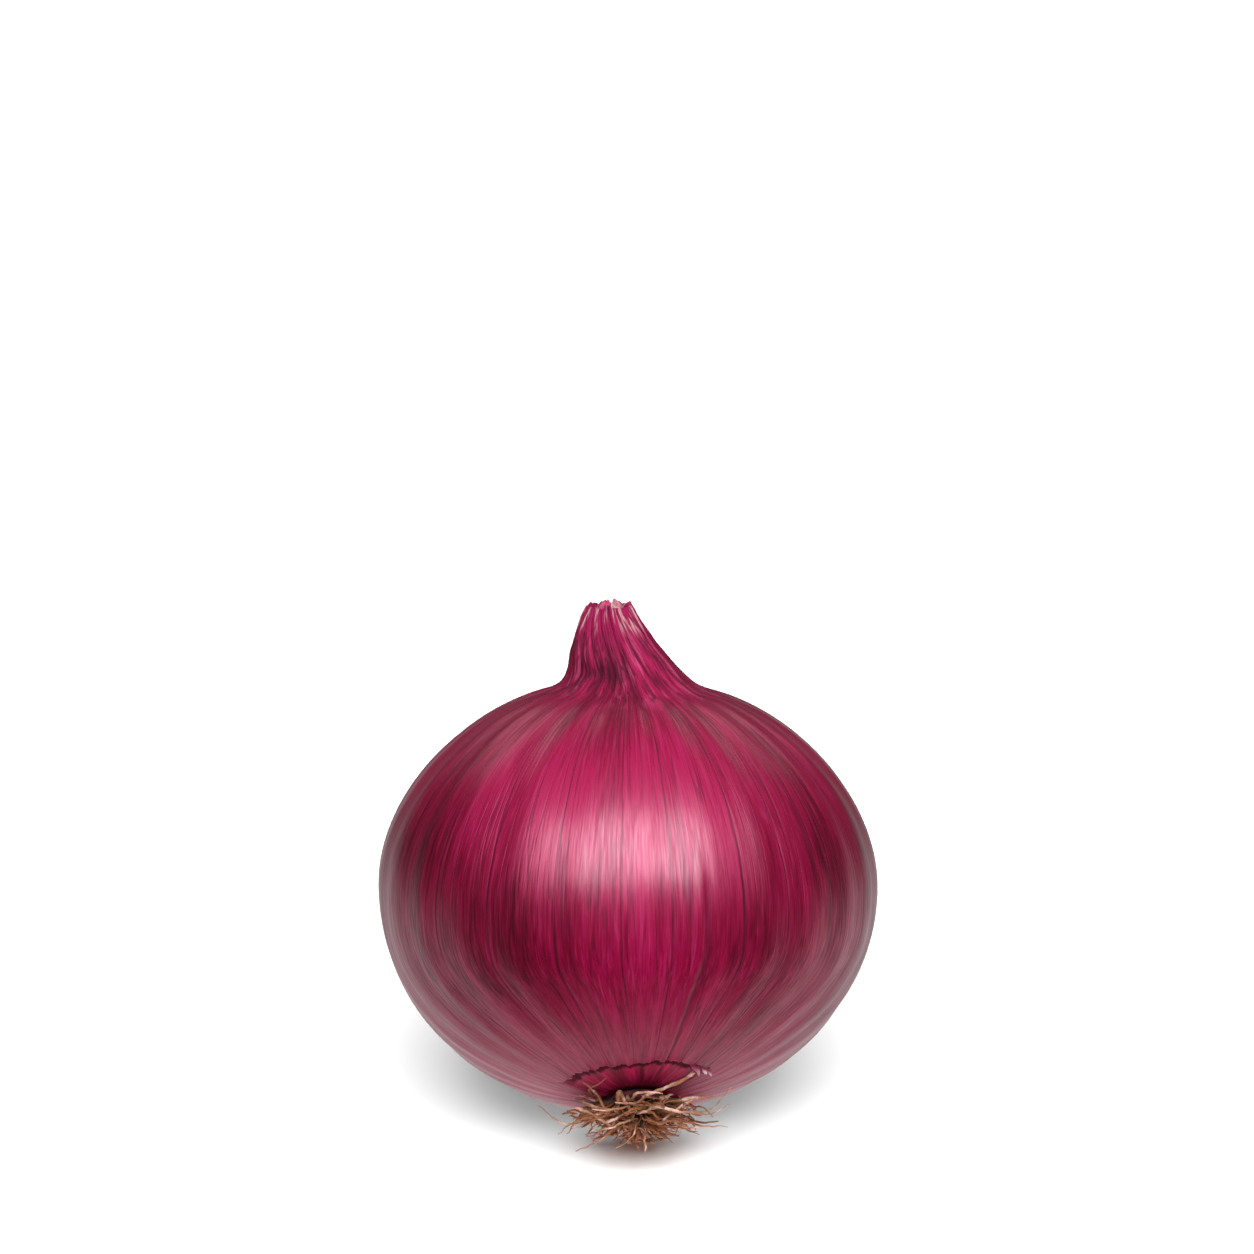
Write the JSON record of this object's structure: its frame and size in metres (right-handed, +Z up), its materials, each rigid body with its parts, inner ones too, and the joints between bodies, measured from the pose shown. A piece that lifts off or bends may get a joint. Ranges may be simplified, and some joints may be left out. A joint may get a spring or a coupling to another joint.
{
  "type": "red onion",
  "caption": "Whole cured red onion with ribbed dry skin torn at the root end, a pleated dry neck and a tuft of dry roots, lying tipped on its side.",
  "frame": {"origin": "centre of the flat spot that the onion rests on", "axes": "+Z up; the root end is turned forward to -Y and the neck leans back to +Y"},
  "size_m": [0.0782, 0.0767, 0.079],
  "materials": {
    "onion_skin": "glossy purple-red dry skin with fine lengthwise streaks",
    "dry_root": "matt dry fibre"
  },
  "bodies": {
    "root": {"bulb": "onion_skin", "root_tuft": "dry_root"}
  },
  "joints": []
}
